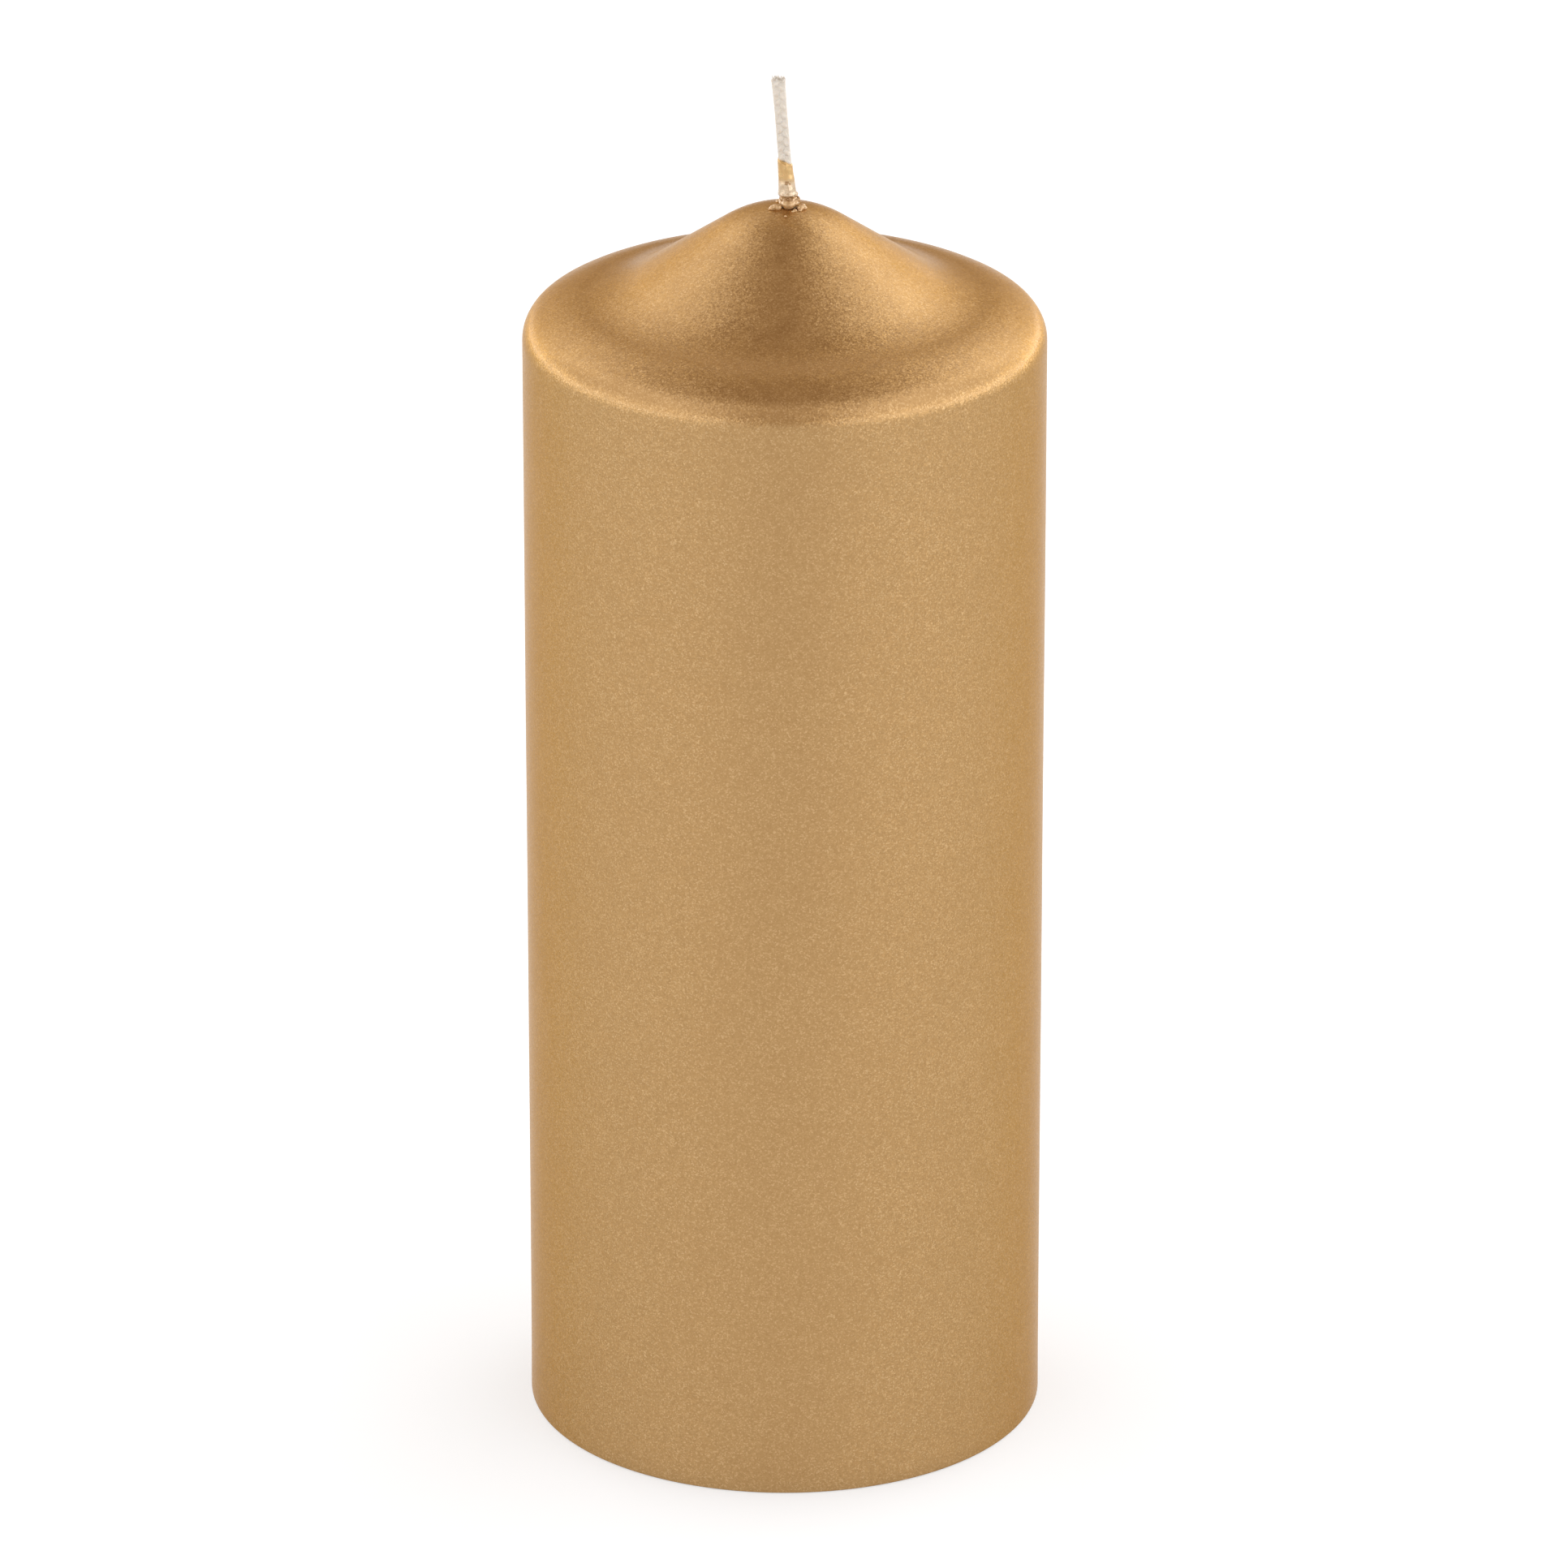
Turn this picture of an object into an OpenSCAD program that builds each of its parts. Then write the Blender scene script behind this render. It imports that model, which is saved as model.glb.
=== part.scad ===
// Pillar candle with a coned top: pressed wax core, dipped coat, metallic lacquer film and a plaited wick.
// Origin at the centre of the base, +Z up the candle, millimetres.

/* [Candle body] */
// Outside diameter of the candle
candle_d = 60; // [56:1:90]
// Height from the base to the tip of the cone
candle_h = 148; // [80:1:220]
// Radius of the shoulder where the side turns over into the top
shoulder_r = 3.6; // [3:0.1:4.5]
// Radius of the gentler round that carries the shoulder on inwards
crown_r = 15; // [10:0.5:16]
// Slope at which the shoulder passes into that round, in degrees
crown_slope = 30; // [25:1:35]
// Slope at which that round passes into the hollow, in degrees
dish_slope = 9.5; // [8:0.1:12]
// Radius of the hollow sweep from there up to the cone
dish_r = 16.2; // [12:0.1:18]
// Slope of the cone's flank, in degrees
cone_slope = 34.2; // [32:0.1:35]
// Radius of the cone's rounded tip
tip_r = 13.6; // [8:0.1:14]
// Radius of the small round where the side meets the base
edge_r = 0.3; // [0.25:0.05:0.6]

/* [Wax layers] */
// Thickness of the metallic lacquer film
film_t = 0.2; // [0.1:0.05:0.25]
// Thickness of the dyed wax coat under the film
coat_t = 1.3; // [0.8:0.1:1.4]

/* [Wick] */
// Width of the flat plaited wick
wick_w = 1.5; // [1.2:0.1:1.5]
// Thickness of the flat plaited wick
wick_t = 1.1; // [0.8:0.1:1.1]
// Free length of the wick above the tip of the cone
wick_free = 15.6; // [10:0.1:25]
// Lean of the free wick towards -X, in degrees
wick_lean = 4.3; // [0:0.1:8]
// Distance of the wick's bore from the candle's axis
wick_x = 0.45; // [0:0.05:0.6]
// Radius of the round wax primer that stiffens the wick
primer_r = 1; // [0.95:0.05:1]

/* [Lacquer round the wick's foot] */
// Height up the wick that the lacquer sleeve reaches
sleeve_h = 5.4; // [4:0.1:8]
// Radius of the sleeve at its upper edge
sleeve_top_r = 0.85; // [0.8:0.05:0.95]
// Radius of the sleeve where it stands on the collar
sleeve_foot_r = 1.0; // [0.95:0.05:1.1]
// Slant of the sleeve's upper edge, in degrees
sleeve_slant = 25; // [0:1:30]
// Largest radius of the collar's lower bead, which sits on the cone
lower_bead_r = 1.5; // [1.4:0.05:1.7]
// Largest radius of the collar's upper bead, round the foot of the sleeve
upper_bead_r = 1.1; // [1.05:0.05:1.2]

/* [Wick sustainer] */
// Diameter of the steel disc in the base
disc_d = 18; // [14:1:25]
// Thickness of the sheet that the sustainer is pressed from
disc_t = 0.4; // [0.3:0.05:0.5]
// Depth of the disc's underside above the resting face
disc_inset = 0.3; // [0.2:0.1:0.6]
// Height of the sustainer's neck above its disc
neck_h = 4.5; // [3:0.5:8]

/* [Hidden] */
$fn = 240;
small_fn = 48;

body_r = candle_d / 2;
core_inset = film_t + coat_t;
// Outline of the top, as offsets from the top of the straight side
shoulder_x = body_r - shoulder_r;
crown_x = shoulder_x - (crown_r - shoulder_r) * sin(crown_slope);
crown_rise = -(crown_r - shoulder_r) * cos(crown_slope);
dish_start_x = crown_x + crown_r * sin(dish_slope);
dish_start_rise = crown_rise + crown_r * cos(dish_slope);
dish_end_x = dish_start_x - dish_r * (sin(cone_slope) - sin(dish_slope));
dish_end_rise = dish_start_rise + dish_r * (cos(dish_slope) - cos(cone_slope));
tip_start_x = tip_r * sin(cone_slope);
tip_start_rise = dish_end_rise + (dish_end_x - tip_start_x) * tan(cone_slope);
tip_rise = tip_start_rise + tip_r * (1 - cos(cone_slope));
side_h = candle_h - tip_rise;
crown_centre = [crown_x, side_h + crown_rise];
dish_centre = crown_centre + (crown_r + dish_r) * [sin(dish_slope), cos(dish_slope)];
tip_centre_z = candle_h - tip_r;

neck_wall = disc_t;
neck_r = primer_r + neck_wall;
disc_top = disc_inset + disc_t;
neck_top = disc_top + neck_h;
// Depth below the tip at which the wick starts to lean
lean_depth = 0.4;
// Sections of the collar's two beads, and the height above the tip at which each is widest
lower_bead_section_r = 0.7;
lower_bead_z = 0.35;
upper_bead_section_r = 0.3;
upper_bead_z = 1.35;
// Height above the tip at which the sleeve stands on the collar
sleeve_foot_z = 1.5;
// Solidified drops round the collar: [gap between its centre and the lower bead, bearing in degrees, radius]
drops = [
    [0.45, 222, 0.5],
    [0.96, 209, 0.5],
    [0.5, -33, 0.52],
    [0.85, -20, 0.3],
    [0.3, -69, 0.32],
    [0.35, 118, 0.42],
    [1.5, -97, 0.15],
];

// Half section of the candle, set in by a distance all round except at the base
module outline(inset) {
    difference() {
        union() {
            polygon([
                [0, 0],
                [body_r - max(inset, edge_r), 0],
                [body_r - max(inset, edge_r), edge_r],
                [body_r - inset, edge_r],
                [body_r - inset, side_h],
                [shoulder_x, side_h] + (shoulder_r - inset) * [sin(crown_slope), cos(crown_slope)],
                crown_centre + (crown_r - inset) * [sin(dish_slope), cos(dish_slope)],
                dish_centre - (dish_r + inset) * [sin(cone_slope), cos(cone_slope)],
                [0, tip_centre_z] + (tip_r - inset) * [sin(cone_slope), cos(cone_slope)],
                [0, tip_centre_z],
            ]);
            translate([shoulder_x, side_h])
                circle(r = shoulder_r - inset);
            translate(crown_centre)
                intersection() {
                    circle(r = crown_r - inset);
                    polygon([
                        [0, 0],
                        2 * crown_r * [sin(crown_slope), cos(crown_slope)],
                        2 * crown_r * [sin(dish_slope), cos(dish_slope)],
                    ]);
                }
            intersection() {
                translate([0, tip_centre_z])
                    circle(r = tip_r - inset);
                translate([0, tip_centre_z - tip_r])
                    square([tip_r, 2 * tip_r]);
            }
            if (inset < edge_r)
                translate([body_r - edge_r, edge_r])
                    circle(r = edge_r - inset);
        }
        translate(dish_centre)
            circle(r = dish_r + inset);
    }
}

module body_solid(inset) {
    rotate_extrude()
        outline(inset);
}

// Round bar along the wick's bore
module bore_bar(r, z0, z1) {
    translate([wick_x, 0, z0])
        cylinder(r = r, h = z1 - z0, $fn = small_fn);
}

// Flat section with round edges
module wick_section() {
    half_gap = (wick_w - wick_t) / 2;
    for (side = [-1, 1])
        translate([side * half_gap, 0])
            circle(d = wick_t, $fn = small_fn);
    square([2 * half_gap, wick_t], center = true);
}

// Frame at the point where the wick starts to lean
module along_lean() {
    translate([wick_x, 0, candle_h - lean_depth])
        rotate([0, -wick_lean, 0])
            children();
}

module wax_core() {
    color("moccasin")
        difference() {
            body_solid(core_inset);
            bore_bar(primer_r, -1, candle_h + 1);
            bore_bar(neck_r, -1, neck_top);
            bore_bar(disc_d / 2, -1, disc_top);
        }
}

module overdip_coat() {
    color("burlywood")
        difference() {
            body_solid(film_t);
            body_solid(core_inset);
            bore_bar(primer_r, candle_h / 2, candle_h + 1);
        }
}

module gold_lacquer_film() {
    color("goldenrod")
        difference() {
            body_solid(0);
            body_solid(film_t);
            bore_bar(primer_r, candle_h / 2, candle_h + 1);
        }
}

module wick_primer_coat() {
    color("ivory")
        difference() {
            intersection() {
                bore_bar(primer_r, disc_inset, candle_h + 1);
                body_solid(0);
            }
            wick_solid();
        }
}

// Block on one side of the plane that halves the angle between the upright wick and the leaning wick
module mitre_block(side) {
    size = 4 * wick_w;
    translate([wick_x, 0, candle_h - lean_depth])
        rotate([0, -wick_lean / 2, 0])
            translate([0, 0, side * size / 2])
                cube(size, center = true);
}

module wick_solid() {
    difference() {
        translate([wick_x, 0, disc_inset])
            linear_extrude(candle_h - lean_depth - disc_inset + wick_w)
                wick_section();
        mitre_block(1);
    }
    difference() {
        along_lean()
            translate([0, 0, -wick_w])
                linear_extrude(wick_free + lean_depth + wick_w)
                    wick_section();
        mitre_block(-1);
    }
}

module wick() {
    color("linen")
        wick_solid();
}

module wick_sustainer() {
    color("silver")
        difference() {
            union() {
                bore_bar(disc_d / 2, disc_inset, disc_top);
                bore_bar(neck_r, disc_inset, neck_top);
            }
            bore_bar(primer_r, -1, neck_top + 1);
        }
}

// Tapered sleeve, cut off at a slant
module sleeve_solid() {
    cut = 4 * sleeve_top_r;
    along_lean()
        translate([0, 0, lean_depth])
            difference() {
                translate([0, 0, sleeve_foot_z])
                    cylinder(r1 = sleeve_foot_r, r2 = sleeve_top_r, h = sleeve_h + 1 - sleeve_foot_z, $fn = small_fn);
                translate([0, 0, sleeve_h])
                    rotate([0, sleeve_slant, 0])
                        translate([0, 0, cut / 2])
                            cube(cut, center = true);
            }
}

module wick_lacquer_sleeve() {
    color("peru")
        difference() {
            sleeve_solid();
            wick_solid();
        }
}

// Part of a bead's round section on the outer side of the axis
module bead_section(section_r, largest_r, z) {
    intersection() {
        translate([largest_r - section_r, z])
            circle(r = section_r, $fn = small_fn);
        translate([0, z - section_r])
            square([largest_r, 2 * section_r]);
    }
}

// Two beads, one above the other, on a short neck
module collar_solid() {
    along_lean()
        translate([0, 0, lean_depth])
            rotate_extrude($fn = small_fn) {
                translate([0, -lean_depth])
                    square([upper_bead_r - upper_bead_section_r / 2, lean_depth + sleeve_foot_z]);
                bead_section(lower_bead_section_r, lower_bead_r, lower_bead_z);
                bead_section(upper_bead_section_r, upper_bead_r, upper_bead_z);
            }
}

module wick_foot_collar() {
    color("tan")
        difference() {
            collar_solid();
            body_solid(0);
            wick_solid();
            sleeve_solid();
        }
}

module wick_foot_drops() {
    color("sandybrown")
        difference() {
            for (drop = drops) {
                reach = lower_bead_r + drop[0];
                translate([wick_x + reach * cos(drop[1]), reach * sin(drop[1]), candle_h - reach * reach / (2 * tip_r)])
                    sphere(r = drop[2], $fn = small_fn);
            }
            body_solid(0);
        }
}

wax_core();
overdip_coat();
gold_lacquer_film();
wick_primer_coat();
wick();
wick_sustainer();
wick_lacquer_sleeve();
wick_foot_collar();
wick_foot_drops();
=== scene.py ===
"""Pillar candle in metallic gold lacquer: the looks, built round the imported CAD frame. Metres, +Z up."""

import math
import random

import bpy
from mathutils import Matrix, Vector, noise


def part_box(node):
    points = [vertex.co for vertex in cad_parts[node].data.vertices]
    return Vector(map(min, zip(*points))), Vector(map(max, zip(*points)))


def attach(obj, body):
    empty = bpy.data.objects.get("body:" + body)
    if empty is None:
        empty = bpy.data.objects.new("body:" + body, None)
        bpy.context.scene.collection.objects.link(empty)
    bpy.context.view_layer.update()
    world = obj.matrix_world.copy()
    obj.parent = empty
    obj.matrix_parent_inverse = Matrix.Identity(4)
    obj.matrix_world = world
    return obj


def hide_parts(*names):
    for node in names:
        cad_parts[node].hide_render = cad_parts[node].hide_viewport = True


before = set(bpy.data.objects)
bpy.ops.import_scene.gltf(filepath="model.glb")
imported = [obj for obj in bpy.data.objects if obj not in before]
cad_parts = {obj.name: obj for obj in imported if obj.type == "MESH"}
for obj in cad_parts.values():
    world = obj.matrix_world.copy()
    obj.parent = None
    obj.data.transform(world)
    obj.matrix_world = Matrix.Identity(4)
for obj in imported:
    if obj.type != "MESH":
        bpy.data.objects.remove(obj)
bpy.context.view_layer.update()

MM = 0.001
ROOT = "root"

# ---------------------------------------------------------------- sizes from the frame
film_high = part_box("gold_lacquer_film")[1]
coat_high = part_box("overdip_coat")[1]
primer_low, primer_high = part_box("wick_primer_coat")
wick_low, wick_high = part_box("wick")
disc_low, disc_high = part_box("wick_sustainer")
sleeve_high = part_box("wick_lacquer_sleeve")[1]

BODY_R = film_high.x
TIP_Z = primer_high.z
FILM_T = film_high.x - coat_high.x
BORE_R = primer_high.y
WICK_X = (primer_low.x + primer_high.x) / 2
WICK_HALF_T = wick_high.y
DISC_R = disc_high.y

# The candle's outline, as part of the same design
SHOULDER_R = 3.6 * MM
CROWN_R = 15 * MM
CROWN_SLOPE = math.radians(30)
DISH_SLOPE = math.radians(9.5)
DISH_R = 16.2 * MM
CONE_SLOPE = math.radians(34.2)
TIP_R = 13.6 * MM
EDGE_R = 0.3 * MM

shoulder_x = BODY_R - SHOULDER_R
crown_x = shoulder_x - (CROWN_R - SHOULDER_R) * math.sin(CROWN_SLOPE)
crown_rise = -(CROWN_R - SHOULDER_R) * math.cos(CROWN_SLOPE)
dish_start_x = crown_x + CROWN_R * math.sin(DISH_SLOPE)
dish_end_x = dish_start_x - DISH_R * (math.sin(CONE_SLOPE) - math.sin(DISH_SLOPE))
tip_start_x = TIP_R * math.sin(CONE_SLOPE)
top_rise = (
    crown_rise
    + CROWN_R * math.cos(DISH_SLOPE)
    + DISH_R * (math.cos(DISH_SLOPE) - math.cos(CONE_SLOPE))
    + (dish_end_x - tip_start_x) * math.tan(CONE_SLOPE)
    + TIP_R * (1 - math.cos(CONE_SLOPE))
)
SIDE_H = TIP_Z - top_rise

# The sleeve's slanted upper edge, given by its height at the candle's axis
SLEEVE_SLANT = math.radians(25)
SLEEVE_TOP = sleeve_high.z - 0.4 * MM

# The wick is wider than it is thick, and its free part leans from just under the tip
WICK_W = 2 * WICK_HALF_T + 0.4 * MM
WICK_LEAN = math.atan2(WICK_X - wick_low.x - WICK_W / 2, wick_high.z - TIP_Z)


# ---------------------------------------------------------------- mesh helpers
def mesh_piece(name, points, faces, material, replaces=()):
    """A smooth-shaded mesh that rides on the candle."""
    mesh = bpy.data.meshes.new(name)
    mesh.from_pydata([tuple(p) for p in points], [], faces)
    mesh.validate()
    mesh.polygons.foreach_set("use_smooth", [True] * len(mesh.polygons))
    piece = bpy.data.objects.new(name, mesh)
    bpy.context.scene.collection.objects.link(piece)
    piece.data.materials.append(material)
    if replaces:
        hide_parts(*replaces)
    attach(piece, ROOT)


def ring_faces(rows, around, closed=False):
    """Quads between rows of points, each row going once round."""
    faces = []
    pairs = [(r, r + 1) for r in range(rows - 1)] + ([(rows - 1, 0)] if closed else [])
    for low, high in pairs:
        for i in range(around):
            j = (i + 1) % around
            faces.append((low * around + i, low * around + j, high * around + j, high * around + i))
    return faces


def capped_faces(rows, around):
    """Quads between rows of points, with a flat face over the first and the last row."""
    caps = [tuple(reversed(range(around))), tuple(range((rows - 1) * around, rows * around))]
    return ring_faces(rows, around) + caps


def add_mesh(points, faces, more_points, more_faces):
    """Adds a mesh's points and faces to the lists of a larger one."""
    faces += [tuple(v + len(points) for v in f) for f in more_faces]
    points += more_points


def arc(centre, radius, start, end, steps):
    """Points on an arc, angles in radians from +X, the start left out."""
    return [
        (centre[0] + radius * math.cos(a), centre[1] + radius * math.sin(a))
        for a in (start + (end - start) * k / steps for k in range(1, steps + 1))
    ]


def line(start, end, steps):
    """Points on a line, the start left out."""
    return [
        (start[0] + (end[0] - start[0]) * k / steps, start[1] + (end[1] - start[1]) * k / steps)
        for k in range(1, steps + 1)
    ]


def smooth_step(low, high, value):
    """0 at low, 1 at high, and an even curve between them."""
    t = min(max((value - low) / (high - low), 0.0), 1.0)
    return t * t * (3 - 2 * t)


# ---------------------------------------------------------------- material helpers
class Shader:
    """A node material built in a few calls."""

    def __init__(self, name):
        self.material = bpy.data.materials.new(name)
        self.material.use_nodes = True
        self.tree = self.material.node_tree
        self.bsdf = self.tree.nodes["Principled BSDF"]
        self.place = self.node("ShaderNodeTexCoord").outputs["Object"]

    def node(self, kind, **settings):
        made = self.tree.nodes.new(kind)
        for key, value in settings.items():
            setattr(made, key, value)
        return made

    def link(self, source, target):
        self.tree.links.new(source, target)

    def feed(self, socket, value):
        if isinstance(value, bpy.types.NodeSocket):
            self.link(value, socket)
        else:
            socket.default_value = value

    def set(self, **values):
        """Uniform values on the shader's own sockets; underscores stand for spaces."""
        for key, value in values.items():
            self.bsdf.inputs[key.replace("_", " ")].default_value = value

    def math(self, operation, a, b=0.0, c=0.0):
        made = self.node("ShaderNodeMath", operation=operation)
        for socket, value in zip(made.inputs, (a, b, c)):
            self.feed(socket, value)
        return made.outputs[0]

    def noise(self, size, detail=2.0, roughness=0.5, distortion=0.0, place=None):
        """Noise whose blobs are about size across, in metres."""
        made = self.node("ShaderNodeTexNoise")
        self.link(place or self.place, made.inputs["Vector"])
        made.inputs["Scale"].default_value = 1 / size
        made.inputs["Detail"].default_value = detail
        made.inputs["Roughness"].default_value = roughness
        made.inputs["Distortion"].default_value = distortion
        return made.outputs["Fac"]

    def cells(self, size, output="Color"):
        """Random cells about size across, in metres."""
        made = self.node("ShaderNodeTexVoronoi")
        self.link(self.place, made.inputs["Vector"])
        made.inputs["Scale"].default_value = 1 / size
        return made.outputs[output]

    def ramp(self, value, *stops):
        """A colour ramp; each stop is (place, colour)."""
        made = self.node("ShaderNodeValToRGB")
        self.link(value, made.inputs["Fac"])
        elements = made.color_ramp.elements
        while len(elements) < len(stops):
            elements.new(0.5)
        for element, (place, colour) in zip(elements, stops):
            element.position = place
            element.color = (*colour, 1)
        return made.outputs["Color"]

    def mix(self, factor, a, b, blend="MIX"):
        made = self.node("ShaderNodeMix", data_type="RGBA", blend_type=blend)
        self.feed(made.inputs["Factor"], factor)
        for socket, value in ((made.inputs[6], a), (made.inputs[7], b)):
            self.feed(socket, (*value, 1) if isinstance(value, tuple) and len(value) == 3 else value)
        return made.outputs[2]

    def span(self, value, low, high, to_low=0.0, to_high=1.0):
        """Maps value from one range to another, held at the ends."""
        made = self.node("ShaderNodeMapRange")
        for socket, v in zip(made.inputs, (value, low, high, to_low, to_high)):
            self.feed(socket, v)
        return made.outputs["Result"]

    def bump(self, height, depth, normal=None):
        """Bump of a height from 0 to 1 that is depth high, in metres."""
        made = self.node("ShaderNodeBump")
        self.link(height, made.inputs["Height"])
        made.inputs["Distance"].default_value = depth
        if normal:
            self.link(normal, made.inputs["Normal"])
        return made.outputs["Normal"]

    def height(self):
        """The height of the shaded point above the base, in metres."""
        made = self.node("ShaderNodeSeparateXYZ")
        self.link(self.place, made.inputs[0])
        return made.outputs["Z"]

    def slanted_height(self, slope):
        """Height above the base, plus slope times the distance towards +X."""
        made = self.node("ShaderNodeSeparateXYZ")
        self.link(self.place, made.inputs[0])
        return self.math("MULTIPLY_ADD", made.outputs["X"], slope, made.outputs["Z"])

    def painted_crease_shade(self, low, high):
        """1 in the surface's creases, 0 where it is flat or bulges: the mask for painting shade into the
        creases.
        """
        return self.span(self.node("ShaderNodeNewGeometry").outputs["Pointiness"], low, high, 1.0, 0.0)

    def colour(self, value):
        self.link(value, self.bsdf.inputs["Base Color"])

    def roughness(self, value):
        self.link(value, self.bsdf.inputs["Roughness"])

    def normal(self, value):
        self.link(value, self.bsdf.inputs["Normal"])


FLAKE_TINT_SIZE = 0.15 * MM
FLAKE_TILT_SIZE = 0.14 * MM
FLAKE_TILT = 0.22
SPRAY_RELIEF = 0.006 * MM


def gold_lacquer():
    """Satin metallic lacquer: fine leafing flakes, each tilted a little, under a thin clear film."""
    s = Shader("gold_lacquer")
    flake_tint = s.node("ShaderNodeSeparateColor")
    s.link(s.cells(FLAKE_TINT_SIZE), flake_tint.inputs[0])
    dark, middle, light = (0.38, 0.225, 0.088), (0.442, 0.272, 0.113), (0.54, 0.355, 0.171)
    tone = s.ramp(flake_tint.outputs[0], (0.0, dark), (0.75, middle), (1.0, light))
    cloud = s.span(s.noise(9 * MM, 3), 0.3, 0.7, 0.0, 0.16)
    s.colour(s.mix(cloud, tone, (0.375, 0.219, 0.086)))
    tilt = s.node("ShaderNodeVectorMath", operation="SUBTRACT")
    s.link(s.cells(FLAKE_TILT_SIZE), tilt.inputs[0])
    tilt.inputs[1].default_value = (0.5, 0.5, 0.5)
    scaled = s.node("ShaderNodeVectorMath", operation="SCALE")
    s.link(tilt.outputs[0], scaled.inputs[0])
    scaled.inputs["Scale"].default_value = FLAKE_TILT
    leaned = s.node("ShaderNodeVectorMath", operation="ADD")
    s.link(s.node("ShaderNodeNewGeometry").outputs["Normal"], leaned.inputs[0])
    s.link(scaled.outputs[0], leaned.inputs[1])
    unit = s.node("ShaderNodeVectorMath", operation="NORMALIZE")
    s.link(leaned.outputs[0], unit.inputs[0])
    s.normal(s.bump(s.noise(1.1 * MM, 3), SPRAY_RELIEF, unit.outputs[0]))
    s.roughness(s.span(s.noise(2.5 * MM, 4), 0.3, 0.7, 0.33, 0.43))
    s.set(Metallic=1.0, Specular_Tint=(0.72, 0.50, 0.26, 1))
    s.set(Coat_Weight=0.35, Coat_Roughness=0.2, Coat_IOR=1.4)
    return s.material


def wick_cotton():
    """Bleached cotton soaked in wax, dipped gold near the foot."""
    s = Shader("wick_cotton")
    fibre = s.noise(0.07 * MM, 4, 0.7, 1.2)
    cotton = s.ramp(fibre, (0.25, (0.57, 0.52, 0.45)), (0.6, (0.68, 0.64, 0.575)), (0.85, (0.73, 0.70, 0.65)))
    stain = s.span(s.noise(1.6 * MM, 2), 0.35, 0.7, 0.0, 0.35)
    cotton = s.mix(stain, cotton, (0.64, 0.575, 0.475))
    dipped = s.span(s.slanted_height(math.tan(SLEEVE_SLANT)), SLEEVE_TOP + 0.2 * MM, SLEEVE_TOP - 0.15 * MM)
    s.colour(s.mix(dipped, cotton, (0.62, 0.40, 0.16)))
    s.roughness(s.span(fibre, 0.3, 0.7, 0.42, 0.6))
    s.normal(s.bump(fibre, 0.02 * MM))
    s.set(Subsurface_Weight=0.25, Subsurface_Radius=(0.9, 0.7, 0.5), Subsurface_Scale=0.35 * MM)
    s.set(Coat_Weight=0.25, Coat_Roughness=0.35)
    return s.material


def foot_lacquer():
    """Gold lacquer mixed with wax: golden at the top, paler lower down, with painted shade darkening the
    creases.
    """
    s = Shader("foot_lacquer")
    z = s.height()

    def zone(middle, half):
        """1 within a band of heights above the tip, given in millimetres."""
        away = s.math("ABSOLUTE", s.math("SUBTRACT", z, TIP_Z + middle * MM))
        return s.span(away, half * MM, half * 0.6 * MM)

    run = s.noise(0.7 * MM, 3, 0.55, 0.6)
    gold = s.ramp(run, (0.25, (0.46, 0.28, 0.095)), (0.55, (0.56, 0.36, 0.14)), (0.85, (0.66, 0.45, 0.21)))
    pale = s.ramp(run, (0.3, (0.48, 0.355, 0.225)), (0.6, (0.60, 0.47, 0.32)), (0.85, (0.69, 0.57, 0.42)))
    bead = s.ramp(run, (0.3, (0.42, 0.26, 0.11)), (0.6, (0.55, 0.36, 0.18)), (0.85, (0.68, 0.49, 0.28)))
    body = s.mix(s.span(z, TIP_Z + 3.5 * MM, TIP_Z + 2.7 * MM), gold, pale)
    body = s.mix(s.span(z, TIP_Z + 1.5 * MM, TIP_Z + 1.2 * MM), body, bead)
    across = s.node("ShaderNodeSeparateXYZ")
    s.link(s.place, across.inputs[0])
    beside = s.math("ABSOLUTE", s.math("SUBTRACT", across.outputs["X"], WICK_X - 0.1 * MM))
    specks = s.math("MULTIPLY", s.span(s.noise(0.32 * MM, 2), 0.45, 0.55), zone(2.9, 0.3))
    specks = s.math("MULTIPLY", specks, s.span(beside, 0.4 * MM, 0.25 * MM))
    ring = s.math("MULTIPLY", s.span(s.noise(0.5 * MM, 2), 0.40, 0.52), zone(1.12, 0.34))
    stain = s.math("MAXIMUM", specks, ring)
    body = s.mix(stain, body, (0.30, 0.16, 0.055))
    # Painted shade: the creases between the beads and drops are darkened to dark brown, found from the mesh's
    # pointiness
    s.colour(s.mix(s.painted_crease_shade(0.41, 0.495), body, (0.20, 0.10, 0.035)))
    s.roughness(s.span(run, 0.3, 0.7, 0.16, 0.3))
    s.normal(s.bump(s.noise(0.3 * MM, 3), 0.015 * MM))
    s.set(Metallic=0.4, Coat_Weight=0.4, Coat_Roughness=0.12)
    s.set(Subsurface_Weight=0.1, Subsurface_Scale=0.4 * MM)
    return s.material


def pressed_wax():
    """Pressed paraffin granules, seen in the base."""
    s = Shader("pressed_wax")
    grain = s.cells(1.5 * MM, "Distance")
    fine = s.noise(0.4 * MM, 4)
    tone = s.ramp(fine, (0.3, (0.76, 0.70, 0.58)), (0.7, (0.87, 0.83, 0.74)))
    s.colour(s.mix(s.span(grain, 0.0, 0.0009, 0.3, 0.0), tone, (0.66, 0.58, 0.44)))
    s.roughness(s.span(fine, 0.3, 0.7, 0.45, 0.65))
    s.normal(s.bump(grain, 0.25 * MM, s.bump(fine, 0.05 * MM)))
    s.set(Subsurface_Weight=0.3, Subsurface_Radius=(1.0, 0.8, 0.6), Subsurface_Scale=1.5 * MM)
    return s.material


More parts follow.
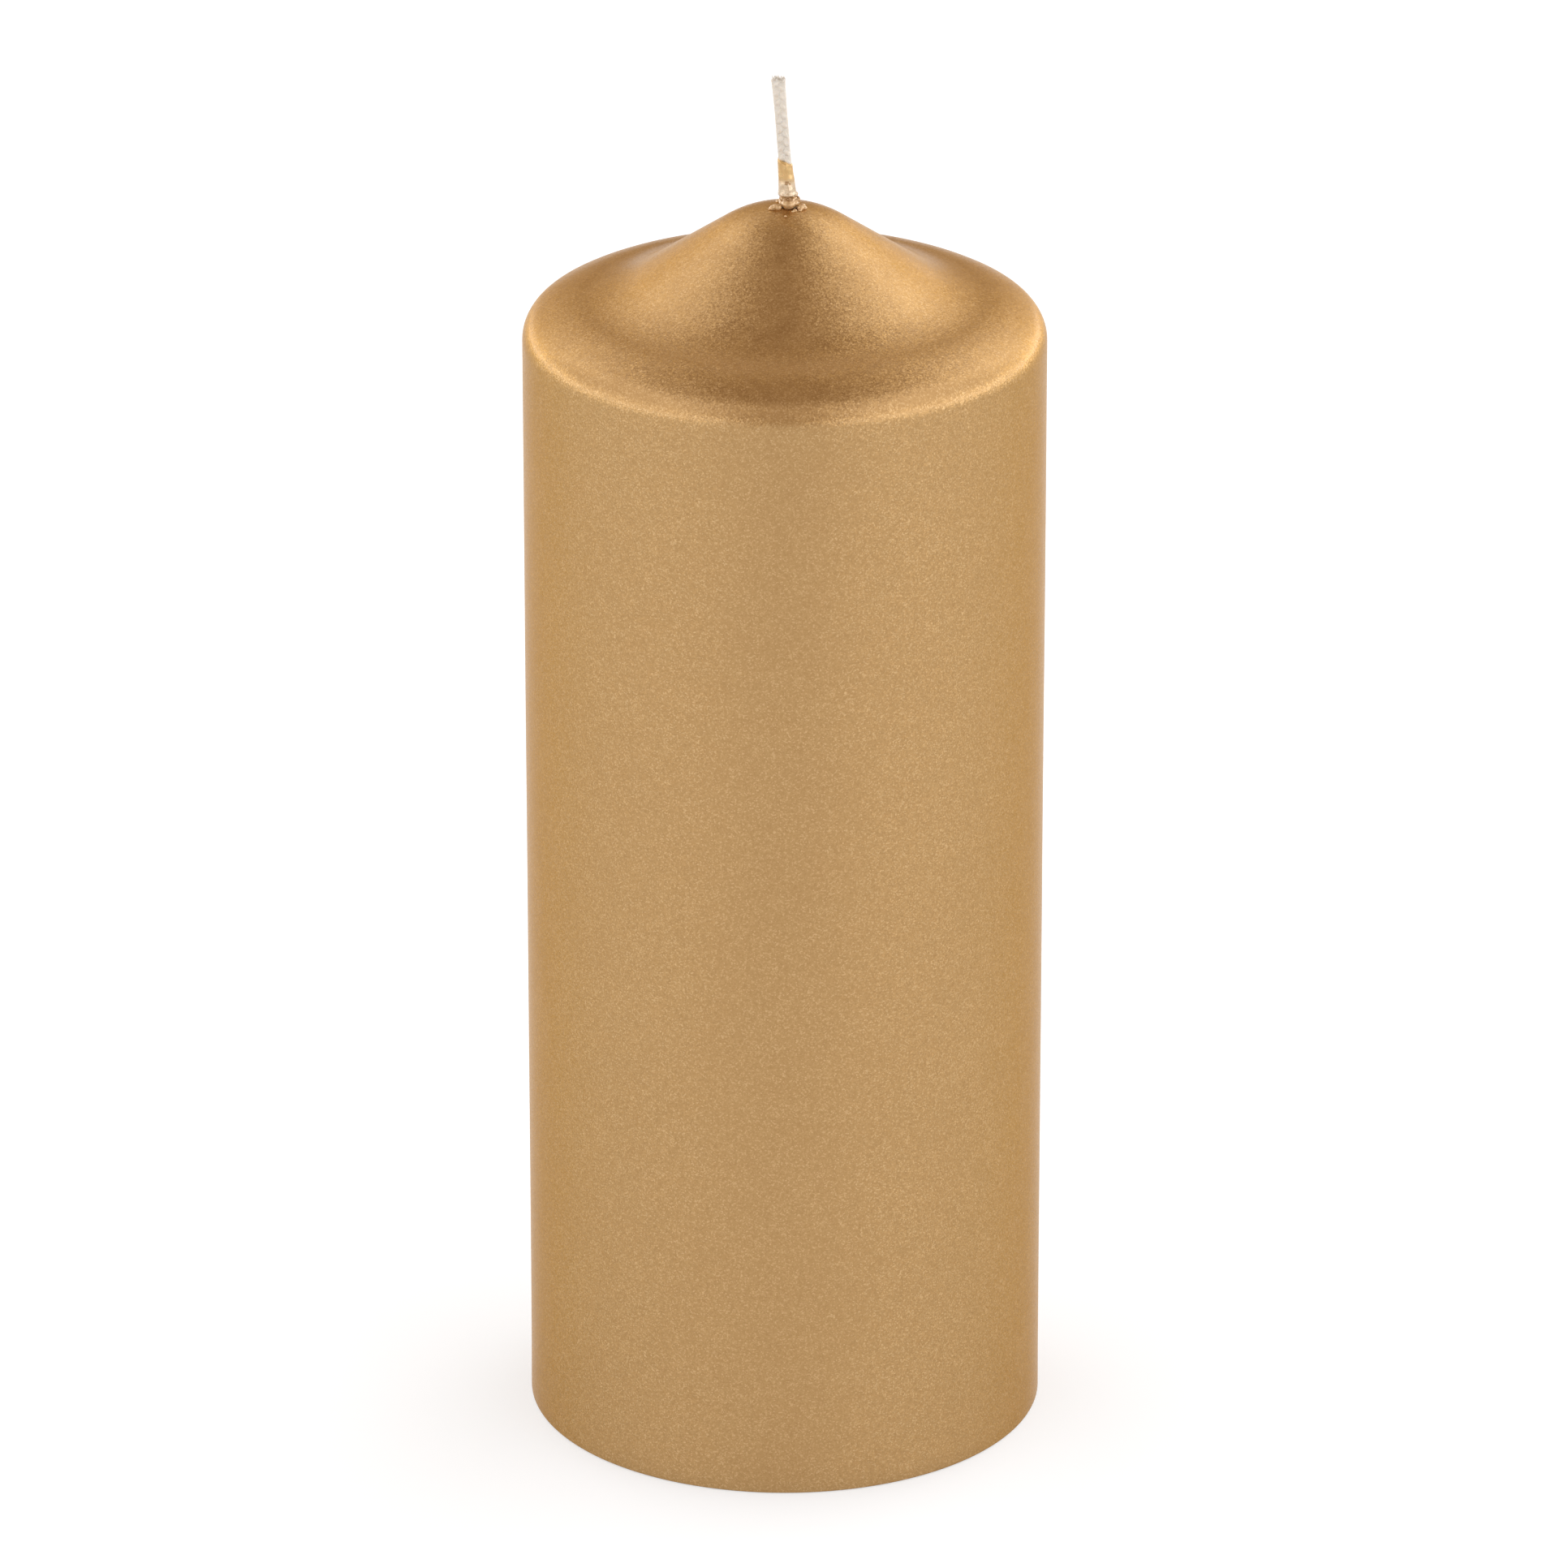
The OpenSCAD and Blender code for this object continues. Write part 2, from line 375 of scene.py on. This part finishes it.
def dipped_wax():
    """Smooth tinted wax of the dipped coat."""
    s = Shader("dipped_wax")
    swirl = s.noise(3 * MM, 3, 0.5, 0.6)
    s.colour(s.ramp(swirl, (0.3, (0.60, 0.40, 0.20)), (0.7, (0.72, 0.52, 0.30))))
    s.roughness(s.span(swirl, 0.3, 0.7, 0.3, 0.42))
    s.normal(s.bump(s.noise(0.8 * MM, 3), 0.03 * MM))
    s.set(Subsurface_Weight=0.2, Subsurface_Radius=(1.0, 0.7, 0.4), Subsurface_Scale=1.0 * MM)
    return s.material


def primer_wax():
    """Hard off-white wax round the wick."""
    s = Shader("primer_wax")
    swirl = s.noise(0.6 * MM, 3)
    s.colour(s.ramp(swirl, (0.3, (0.78, 0.72, 0.62)), (0.7, (0.88, 0.84, 0.77))))
    s.roughness(s.span(swirl, 0.3, 0.7, 0.35, 0.5))
    s.normal(s.bump(swirl, 0.03 * MM))
    return s.material


def tinned_steel():
    """Thin pressed sheet steel with fine rolling marks."""
    s = Shader("tinned_steel")
    stretch = s.node("ShaderNodeMapping")
    s.link(s.place, stretch.inputs["Vector"])
    stretch.inputs["Scale"].default_value = (1, 14, 1)
    grain = s.noise(1.2 * MM, 4, 0.6, place=stretch.outputs["Vector"])
    s.colour(s.ramp(grain, (0.3, (0.50, 0.49, 0.47)), (0.7, (0.64, 0.63, 0.61))))
    s.roughness(s.span(grain, 0.3, 0.7, 0.24, 0.4))
    s.normal(s.bump(grain, 0.004 * MM))
    s.set(Metallic=1.0)
    return s.material


GOLD = gold_lacquer()
COTTON = wick_cotton()
FOOT = foot_lacquer()
STEEL = tinned_steel()


# ---------------------------------------------------------------- lacquered skin
def outline(inset):
    """The candle's half section from the edge of the base to the tip, set in by a distance all round."""
    up = math.pi / 2
    crown = (crown_x, SIDE_H + crown_rise)
    dish = (
        crown_x + (CROWN_R + DISH_R) * math.sin(DISH_SLOPE),
        crown[1] + (CROWN_R + DISH_R) * math.cos(DISH_SLOPE),
    )
    edge = (BODY_R - EDGE_R, EDGE_R)
    shoulder = (shoulder_x, SIDE_H)
    tip = (0.0, TIP_Z - TIP_R)
    points = [(edge[0], inset)]
    points += arc(edge, EDGE_R - inset, -up, 0, 5)
    points += line(points[-1], (BODY_R - inset, SIDE_H), 80)
    points += arc(shoulder, SHOULDER_R - inset, 0, up - CROWN_SLOPE, 12)
    points += arc(crown, CROWN_R - inset, up - CROWN_SLOPE, up - DISH_SLOPE, 12)
    points += arc(dish, DISH_R + inset, -up - DISH_SLOPE, -up - CONE_SLOPE, 24)
    flank_end = (
        (TIP_R - inset) * math.sin(CONE_SLOPE),
        TIP_Z - TIP_R + (TIP_R - inset) * math.cos(CONE_SLOPE),
    )
    points += line(points[-1], flank_end, 16)
    bore_angle = up - math.asin(BORE_R / (TIP_R - inset))
    points += arc(tip, TIP_R - inset, up - CONE_SLOPE, bore_angle, 16)
    return points


SKIN_SIDES = 320
DIP_UNEVENNESS = 0.11 * MM


def hand_dipped(point, depth):
    """Moves a point of the skin inwards by a slow, shallow unevenness."""
    x, y, z = point
    slow = noise.noise(Vector((x, y, z * 0.6)) / (19 * MM) + Vector((3.1, 7.7, 1.3)))
    quick = noise.noise(Vector((x, y, z)) / (5.5 * MM) + Vector((9.4, 2.2, 5.1)))
    inward = depth * (0.5 + 0.42 * slow + 0.08 * quick)
    rho = math.hypot(x, y)
    down = inward * 0.6 if z > SIDE_H else 0
    return Vector((x - x / rho * inward * 0.8, y - y / rho * inward * 0.8, z - down))


def skin_row(radius, z, around):
    """One ring of the skin. Near the tip the rings drift over to the wick's bore and stay on the surface."""
    drift = WICK_X * (1 - smooth_step(BORE_R, tip_start_x, radius)) if z > SIDE_H else 0.0
    row = []
    for i in range(around):
        a = 2 * math.pi * i / around
        x, y = radius * math.cos(a) + drift, radius * math.sin(a)
        fall = 0.0
        if drift:
            # The drifted ring follows the round tip
            fall = (x * x + y * y - radius * radius) / (2 * TIP_R)
        row.append(Vector((x, y, z - fall)))
    return row


def gold_skin():
    """The lacquer film: the outline turned round the axis, with its inner face against the wax."""
    points = []
    outer, inner = outline(0.0), outline(FILM_T)
    for radius, z in outer:
        # The unevenness fades out at the base's edge and at the wick
        depth = DIP_UNEVENNESS * smooth_step(EDGE_R, 6 * MM, z) * smooth_step(BORE_R, 4 * MM, radius)
        points += [hand_dipped(p, depth) for p in skin_row(radius, z, SKIN_SIDES)]
    for radius, z in reversed(inner):
        points += skin_row(radius, z, SKIN_SIDES)
    faces = ring_faces(len(outer) + len(inner), SKIN_SIDES, closed=True)
    mesh_piece("lacquered_skin", points, faces, GOLD, ["gold_lacquer_film"])


gold_skin()


# ---------------------------------------------------------------- plaited wick
PLAIT_PITCH = 3.3 * MM
STRANDS = 3
STRAND_R = 0.36 * MM
STRAND_SIDES = 24
YARNS = 6
YARN_RELIEF = 0.05
YARN_TWIST = 2 * math.pi / (1.7 * MM)
lean_start_z = TIP_Z - 0.4 * MM
lean_axis = Vector((-math.sin(WICK_LEAN), 0, math.cos(WICK_LEAN)))


def wick_centre(length):
    """A point on the wick's centre line, at a distance from its lower end, with the direction there."""
    straight = lean_start_z - wick_low.z
    if length <= straight:
        return Vector((WICK_X, 0, wick_low.z + length)), Vector((0, 0, 1))
    return Vector((WICK_X, 0, lean_start_z)) + lean_axis * (length - straight), lean_axis


WICK_LENGTH = (lean_start_z - wick_low.z) + (wick_high.z - lean_start_z) / math.cos(WICK_LEAN)
EXPOSED_FROM = lean_start_z - wick_low.z
FRAY = 0.45 * MM
FRAYED_FIBRES = 90
WAX_HALF_W = WICK_W / 2 - 0.02 * MM
WAX_HALF_T = WICK_HALF_T - 0.14 * MM


def plait_offset(strand, length):
    """Where a strand of the flat plait runs beside the centre line."""
    phase = 2 * math.pi * (length / PLAIT_PITCH + strand / STRANDS)
    top = smooth_step(WICK_LENGTH - 2.5 * MM, WICK_LENGTH, length)
    waist = 1 - 0.08 * smooth_step(EXPOSED_FROM + 5 * MM, EXPOSED_FROM + 9 * MM, length)
    half_w = (WICK_W / 2 - STRAND_R) * waist * (1 + 0.28 * top)
    half_t = (WICK_HALF_T - STRAND_R) * (1 + 0.2 * top)
    return half_w * math.sin(phase), half_t * math.sin(2 * phase)


def strand_point(strand, length):
    centre, along = wick_centre(length)
    side = Vector((along.z, 0, -along.x))
    x, y = plait_offset(strand, length)
    return centre + side * x + Vector((0, y, 0)), along


def strand_mesh(strand, rng):
    """One strand of the plait, its yarns as relief round it."""
    lengths = [0.0]
    end = WICK_LENGTH - FRAY - rng.uniform(0, 0.2) * MM
    while lengths[-1] < end:
        near_end = lengths[-1] > EXPOSED_FROM - 1 * MM or lengths[-1] < 1.5 * MM
        lengths.append(min(lengths[-1] + (0.09 if near_end else 0.3) * MM, end))
    points = []
    for k, length in enumerate(lengths):
        here, _ = strand_point(strand, length)
        ahead, _ = strand_point(strand, length + 0.05 * MM)
        direction = (ahead - here).normalized()
        side = Vector((0, 1, 0)).cross(direction).normalized()
        front = direction.cross(side)
        swell = 1 + 0.05 * noise.noise(Vector((strand * 5.0, 0, length / (0.8 * MM))))
        for i in range(STRAND_SIDES):
            a = 2 * math.pi * i / STRAND_SIDES
            lobe = 1 + YARN_RELIEF * math.cos(YARNS * (a - YARN_TWIST * length / YARNS))
            radius = STRAND_R * swell * lobe
            points.append(here + side * (radius * math.cos(a)) + front * (radius * math.sin(a)))
    return points, capped_faces(len(lengths), STRAND_SIDES)


def tube(path, radius, sides=5):
    """A closed tube that thins out towards its far end."""
    points = []
    for k, here in enumerate(path):
        ahead = path[min(k + 1, len(path) - 1)] - path[max(k - 1, 0)]
        direction = ahead.normalized()
        side = direction.orthogonal().normalized()
        front = direction.cross(side)
        thin = radius * (1 - 0.6 * k / (len(path) - 1))
        for i in range(sides):
            a = 2 * math.pi * i / sides
            points.append(here + side * (thin * math.cos(a)) + front * (thin * math.sin(a)))
    return points, capped_faces(len(path), sides)


def wick_wax():
    """The wax the plait is soaked in: a flat rounded band that fills between the strands."""
    around, rows = 40, 90
    end = WICK_LENGTH - FRAY - 0.1 * MM
    points = []
    for k in range(rows):
        length = end * k / (rows - 1)
        centre, along = wick_centre(length)
        side = Vector((along.z, 0, -along.x))
        flare = 1 + 0.12 * smooth_step(WICK_LENGTH - 4 * MM, WICK_LENGTH, length)
        wander = 1 + 0.02 * noise.noise(Vector((7.0, 0, length / (1.5 * MM))))
        for i in range(around):
            a = 2 * math.pi * i / around
            c, s = math.cos(a), math.sin(a)
            x = WAX_HALF_W * flare * wander * math.copysign(abs(c) ** 0.4, c)
            y = WAX_HALF_T * flare * math.copysign(abs(s) ** 0.6, s)
            points.append(centre + side * x + Vector((0, y, 0)))
    mesh_piece("wick_wax", points, capped_faces(rows, around), COTTON, ["wick"])


def plaited_wick():
    rng = random.Random(11)
    for strand in range(STRANDS):
        points, faces = strand_mesh(strand, rng)
        mesh_piece(f"wick_strand_{strand + 1}", points, faces, COTTON, ["wick"])
    points, faces = [], []
    for k in range(FRAYED_FIBRES):
        strand = k % STRANDS
        root_length = WICK_LENGTH - FRAY - rng.uniform(0.1, 0.5) * MM
        root, along = strand_point(strand, root_length)
        a = rng.uniform(0, 2 * math.pi)
        out = Vector((math.cos(a), math.sin(a), 0)) * STRAND_R * math.sqrt(rng.random()) * 0.95
        reach = WICK_LENGTH - root_length - rng.uniform(0.02, 0.3) * MM
        splay = Vector((math.cos(a), math.sin(a), 0)) * rng.uniform(0.0, 0.12) * MM
        path = [root + out + along * (reach * t) + splay * t * t for t in (0, 0.35, 0.7, 1)]
        add_mesh(points, faces, *tube(path, rng.uniform(0.02, 0.04) * MM))
    mesh_piece("wick_frayed_end", points, faces, COTTON)


wick_wax()
plaited_wick()


# ---------------------------------------------------------------- lacquer round the wick's foot
def height_on_lean(z):
    """Distance along the wick's length of a height above the tip."""
    return EXPOSED_FROM + (TIP_Z - lean_start_z + z) / math.cos(WICK_LEAN)


SLEEVE_FOOT = 1.35 * MM
SLEEVE_GAP = 0.02 * MM
SLEEVE_SUNK = 0.08 * MM


def lacquer_sleeve():
    """Lacquer that climbed the wick: thick at the foot, thinning to a slanted edge."""
    around, rows = 96, 56
    core_x, core_y = WICK_W / 2 + SLEEVE_GAP, WICK_HALF_T + SLEEVE_GAP
    outer, inner = [], []
    for k in range(rows):
        t = k / (rows - 1)
        for i in range(around):
            a = 2 * math.pi * i / around
            c, s = math.cos(a), math.sin(a)
            upper = SLEEVE_TOP - TIP_Z - math.tan(SLEEVE_SLANT) * 0.8 * MM * c
            upper += 0.1 * MM * noise.noise(Vector((c, s, 4.0)) * 1.7)
            height = SLEEVE_FOOT + (upper - SLEEVE_FOOT) * t
            centre, along = wick_centre(height_on_lean(height))
            side = Vector((along.z, 0, -along.x))
            thin_edge = smooth_step(1.0, 0.95, t)
            lump = 0.5 + noise.noise(Vector((c * 2.4, s * 2.4, 9.0)))
            rolled_foot = 0.06 * MM * smooth_step(0.12, 0.03, t) * lump
            streak = noise.noise(Vector((c * 2.6, s * 2.6, height / (2.4 * MM))))
            ripple = noise.noise(Vector((c * 1.4, s * 1.4, height / (0.7 * MM))))
            thick = (0.07 + 0.2 * (1 - t) ** 1.3 + 0.05 * streak + 0.03 * ripple) * MM
            thick = (thick + rolled_foot) * thin_edge + 0.01 * MM
            outer.append(centre + side * ((core_x + thick) * c) + Vector((0, (core_y + thick * 1.6) * s, 0)))
            inner_y = (core_y - SLEEVE_SUNK) * s
            inner.append(centre + side * ((core_x - SLEEVE_SUNK) * c) + Vector((0, inner_y, 0)))
    inner_rows = [inner[k * around:(k + 1) * around] for k in reversed(range(rows))]
    points = outer + [p for row in inner_rows for p in row]
    faces = ring_faces(2 * rows, around, closed=True)
    mesh_piece("lacquer_sleeve", points, faces, FOOT, ["wick_lacquer_sleeve"])


lacquer_sleeve()


def blob(centre, size, squash=(1, 1, 1), rings=18, around=28):
    """A closed ellipsoid, in millimetres, as points and faces."""
    half_x, half_y, half_z = (size * factor for factor in squash)
    points = [centre + Vector((0, 0, half_z))]
    for r in range(1, rings):
        lat = math.pi * r / rings
        for i in range(around):
            a = 2 * math.pi * i / around
            x, y = half_x * math.sin(lat) * math.cos(a), half_y * math.sin(lat) * math.sin(a)
            points.append(centre + Vector((x, y, half_z * math.cos(lat))))
    points.append(centre - Vector((0, 0, half_z)))
    last = len(points) - 1
    faces = [(0, 1 + i, 1 + (i + 1) % around) for i in range(around)]
    for r in range(rings - 2):
        for i in range(around):
            j = (i + 1) % around
            low, high = 1 + r * around, 1 + (r + 1) * around
            faces.append((low + i, high + i, high + j, low + j))
    faces += [(last, last - around + (i + 1) % around, last - around + i) for i in range(around)]
    return points, faces


def fused(name, blobs, voxel, unevenness, replaces):
    """Ellipsoids given in millimetres, melted into one lumpy surface and scaled to metres."""
    points, faces = [], []
    for centre, size, squash in blobs:
        add_mesh(points, faces, *blob(Vector(centre), size, squash))
    mesh = bpy.data.meshes.new(name + "_draft")
    mesh.from_pydata([tuple(p) for p in points], [], faces)
    draft = bpy.data.objects.new(name + "_draft", mesh)
    bpy.context.scene.collection.objects.link(draft)
    remesh = draft.modifiers.new("melt", "REMESH")
    remesh.mode = "VOXEL"
    remesh.voxel_size = voxel
    soften = draft.modifiers.new("soften", "SMOOTH")
    soften.factor, soften.iterations = 0.5, 5
    depsgraph = bpy.context.evaluated_depsgraph_get()
    melted = bpy.data.meshes.new_from_object(draft.evaluated_get(depsgraph))
    bpy.data.objects.remove(draft)
    moved = []
    for vertex in melted.vertices:
        wave = noise.noise(vertex.co * 1.9) + 0.5 * noise.noise(vertex.co * 4.3)
        moved.append((vertex.co + vertex.normal * unevenness * wave) * MM)
    shapes = [tuple(polygon.vertices) for polygon in melted.polygons]
    mesh_piece(name, moved, shapes, FOOT, replaces)


# The drops beside the collar, in millimetres and degrees: distance from the wick, bearing, radius and
# rise above the cone
DROPS = (
    (1.62, 222, 0.38, 0.16), (1.85, 215, 0.34, 0.26), (2.08, 209, 0.36, 0.12), (2.32, 205, 0.22, 0.04),
    (1.64, -36, 0.36, 0.14), (1.70, -24, 0.32, 0.28), (1.90, -20, 0.26, 0.08), (1.80, -46, 0.24, 0.0),
    (1.72, -66, 0.24, 0.02), (1.86, -76, 0.16, 0.0), (1.7, 118, 0.38, 0.1), (1.95, 128, 0.28, 0.0),
    (3.0, -97, 0.14, 0.02),
)


def foot_pieces():
    """The collar's beads and the set drops beside it, in millimetres."""
    tip = TIP_Z / MM
    axis = WICK_X / MM
    rng = random.Random(5)

    def place(distance, bearing, rise):
        """A point beside the wick, at a height above the cone's surface there."""
        a = math.radians(bearing)
        x, y = axis + distance * math.cos(a), distance * math.sin(a)
        return x, y, tip - (x * x + y * y) / (2 * TIP_R / MM) + rise

    def around_wick(distance, bearing, rise, low, high, shake, stretch=1.0):
        """A bead beside the wick, a little out of place and out of size."""
        turned = bearing + shake * rng.uniform(-1, 1)
        raised = rise + 0.01 * shake * rng.uniform(-1, 1)
        return place(distance, turned, raised), rng.uniform(low, high), (1, 1, stretch)

    collar = [(place(0.84, -92, 0.44), 0.64, (1.2, 0.95, 1.0))]
    for bearing in range(-40, 231, 30):
        collar.append(around_wick(0.72, bearing, 0.38, 0.44, 0.54, 8))
    for bearing in range(0, 360, 30):
        collar.append(around_wick(0.84, bearing, 1.34, 0.22, 0.28, 8))
        collar.append(around_wick(0.8, bearing, 0.92, 0.26, 0.3, 4, 1.3))
    collar.append((place(1.05, -8, 0.85), 0.3, (1, 1, 1.2)))
    fused("foot_collar", collar, 0.04, 0.035, ["wick_foot_collar"])
    drops = []
    for distance, bearing, size, rise in DROPS:
        drops.append((place(distance, bearing, rise), size, (1.1, 0.95, 0.95)))
    fused("foot_drops", drops, 0.035, 0.03, ["wick_foot_drops"])


foot_pieces()


# ---------------------------------------------------------------- pieces seen in the base
def pressed_sustainer():
    """Steel disc pressed with a ring ridge, its neck drawn up round the wick."""
    around = 128
    low, high = disc_low.z, disc_high.z
    sheet = 0.4 * MM
    neck_r = BORE_R + sheet
    lower = [(DISC_R - 0.05 * MM, low + 0.02 * MM), (DISC_R - 0.8 * MM, low)]
    for k in range(9):
        t = k / 8
        radius = DISC_R - 2.2 * MM - 1.6 * MM * t
        lower.append((radius, low + 0.16 * MM * math.sin(math.pi * t)))
    lower += [(BORE_R + 0.9 * MM, low), (BORE_R + 0.45 * MM, low + 0.05 * MM)]
    lower += [(BORE_R + 0.12 * MM, low + 0.2 * MM), (BORE_R, low + 0.5 * MM), (BORE_R, high)]
    upper = [(neck_r, high), (neck_r, low + sheet + 0.2 * MM), (neck_r + 0.3 * MM, low + sheet)]
    upper += [(DISC_R - 0.05 * MM, low + sheet), (DISC_R, low + sheet / 2)]
    points = []
    for radius, z in lower + upper:
        for i in range(around):
            a = 2 * math.pi * i / around
            points.append(Vector((WICK_X + radius * math.cos(a), radius * math.sin(a), z)))
    faces = [tuple(reversed(f)) for f in ring_faces(len(lower + upper), around, closed=True)]
    mesh_piece("pressed_sustainer", points, faces, STEEL, ["wick_sustainer"])


pressed_sustainer()

for node, material in (
    ("wax_core", pressed_wax()),
    ("overdip_coat", dipped_wax()),
    ("wick_primer_coat", primer_wax()),
):
    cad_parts[node].data.materials.clear()
    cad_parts[node].data.materials.append(material)


# ---------------------------------------------------------------- stage, light and camera
FLOOR_HALF = 200 * BODY_R
FLOOR_GLOW = 0.42
FLOOR_GAP = 0.02 * MM
CEILING, CEILING_COLOUR = 0.44, (1.0, 0.70, 0.46)
WALL_COLOUR = (0.99, 1.05, 1.12)
# Sideways part of a unit direction where the dim strip overhead ends, and where the side walls are full
STRIP_EDGE, WALL_FULL = 0.2, 0.58
LEFT_WALL, RIGHT_WALL = 1.2, 1.42
LOW_EXTRA, MID_GAIN, HIGH_GAIN, TOP_GAIN = 2.25, 0.66, 1.12, 0.6
BACK_LOW, BACK_HIGH = 0.42, 0.8
FRONT_WALL = 0.3


def pale_floor():
    s = Shader("pale_floor")
    s.colour(s.ramp(s.noise(0.4, 2), (0.3, (0.61, 0.61, 0.61)), (0.7, (0.63, 0.63, 0.63))))
    s.set(Roughness=0.9, Emission_Color=(0.9, 1, 1.08, 1), Emission_Strength=FLOOR_GLOW)
    corners = [(x * FLOOR_HALF, y * FLOOR_HALF, -FLOOR_GAP) for x, y in ((-1, -1), (1, -1), (1, 1), (-1, 1))]
    mesh = bpy.data.meshes.new("floor")
    mesh.from_pydata(corners, [], [(0, 1, 2, 3)])
    floor = bpy.data.objects.new("floor", mesh)
    bpy.context.scene.collection.objects.link(floor)
    mesh.materials.append(s.material)


def studio_tent():
    """Soft light from all round: brighter to both sides and behind, with a dim strip overhead."""
    world = bpy.data.worlds.new("studio")
    bpy.context.scene.world = world
    world.use_nodes = True
    tree = world.node_tree

    def node(kind, **settings):
        made = tree.nodes.new(kind)
        for key, value in settings.items():
            setattr(made, key, value)
        return made

    def span(value, low, high, to_low, to_high, blend="LINEAR"):
        made = node("ShaderNodeMapRange", interpolation_type=blend)
        tree.links.new(value, made.inputs["Value"])
        for name, v in zip(("From Min", "From Max", "To Min", "To Max"), (low, high, to_low, to_high)):
            made.inputs[name].default_value = v
        return made.outputs["Result"]

    def combine(operation, a, b):
        made = node("ShaderNodeMath", operation=operation)
        tree.links.new(a, made.inputs[0])
        tree.links.new(b, made.inputs[1])
        return made.outputs[0]

    def times(a, b):
        return combine("MULTIPLY", a, b)

    def plus(a, b):
        return combine("ADD", a, b)

    direction = node("ShaderNodeSeparateXYZ")
    tree.links.new(node("ShaderNodeTexCoord").outputs["Generated"], direction.inputs[0])
    x, y, z = direction.outputs
    # The walls to both sides, brightest low down and dimmest halfway up
    left = span(x, -STRIP_EDGE, -WALL_FULL, 0, LEFT_WALL)
    right = span(x, STRIP_EDGE, WALL_FULL, 0, RIGHT_WALL)
    gain = plus(span(z, 0.22, 0.0, 0, LOW_EXTRA), span(z, 0.6, 0.85, MID_GAIN, HIGH_GAIN))
    gain = plus(gain, span(z, 0.86, 0.96, 0, TOP_GAIN - HIGH_GAIN))
    sides = times(plus(left, right), gain)
    # The wall behind, brightest at half height, and brighter to the right
    rise = span(z, 0.35, 0.5, BACK_LOW / BACK_HIGH, 1)
    hump = times(rise, span(z, 0.7, 0.86, 1, 0, "SMOOTHSTEP"))
    behind = times(span(y, 0.3, 0.6, 0, BACK_HIGH, "SMOOTHSTEP"), hump)
    behind = times(behind, span(x, -0.4, 0.4, 0.92, 1.34))
    off_middle = combine("MAXIMUM", span(x, 0.05, 0.3, 0.45, 1.15), span(x, -0.05, -0.3, 0.45, 1.15))
    behind = times(behind, off_middle)
    # A weak wall in front, above the camera
    in_front = times(span(y, -0.05, -0.45, 0, FRONT_WALL), span(z, 0.2, 0.45, 0, 1))
    walls = plus(plus(sides, behind), in_front)
    wall_light = tree.nodes["Background"]
    wall_light.inputs["Color"].default_value = (*WALL_COLOUR, 1)
    tree.links.new(walls, wall_light.inputs["Strength"])
    ceiling_light = node("ShaderNodeBackground")
    ceiling_light.inputs["Color"].default_value = (*CEILING_COLOUR, 1)
    ceiling_light.inputs["Strength"].default_value = CEILING
    both = node("ShaderNodeAddShader")
    tree.links.new(wall_light.outputs[0], both.inputs[0])
    tree.links.new(ceiling_light.outputs[0], both.inputs[1])
    tree.links.new(both.outputs[0], tree.nodes["World Output"].inputs["Surface"])


pale_floor()
studio_tent()

CAMERA_DISTANCE = 40 * BODY_R
CAMERA_SHIFT = -0.09 * MM
CAMERA_ELEVATION = math.radians(25.621)
CAMERA_PITCH = math.radians(90 - 22.566)
CAMERA_LENS, CAMERA_SENSOR = 257.2, 36

camera_data = bpy.data.cameras.new("camera")
camera = bpy.data.objects.new("camera", camera_data)
bpy.context.scene.collection.objects.link(camera)
bpy.context.scene.camera = camera
camera.location = (CAMERA_SHIFT, -CAMERA_DISTANCE, CAMERA_DISTANCE * math.tan(CAMERA_ELEVATION))
camera.rotation_euler = (CAMERA_PITCH, 0, 0)
camera_data.lens = CAMERA_LENS
camera_data.sensor_width = CAMERA_SENSOR
camera_data.clip_start, camera_data.clip_end = 0.05, 50

bpy.context.scene.view_settings.view_transform = "Standard"
bpy.context.scene.view_settings.look = "None"
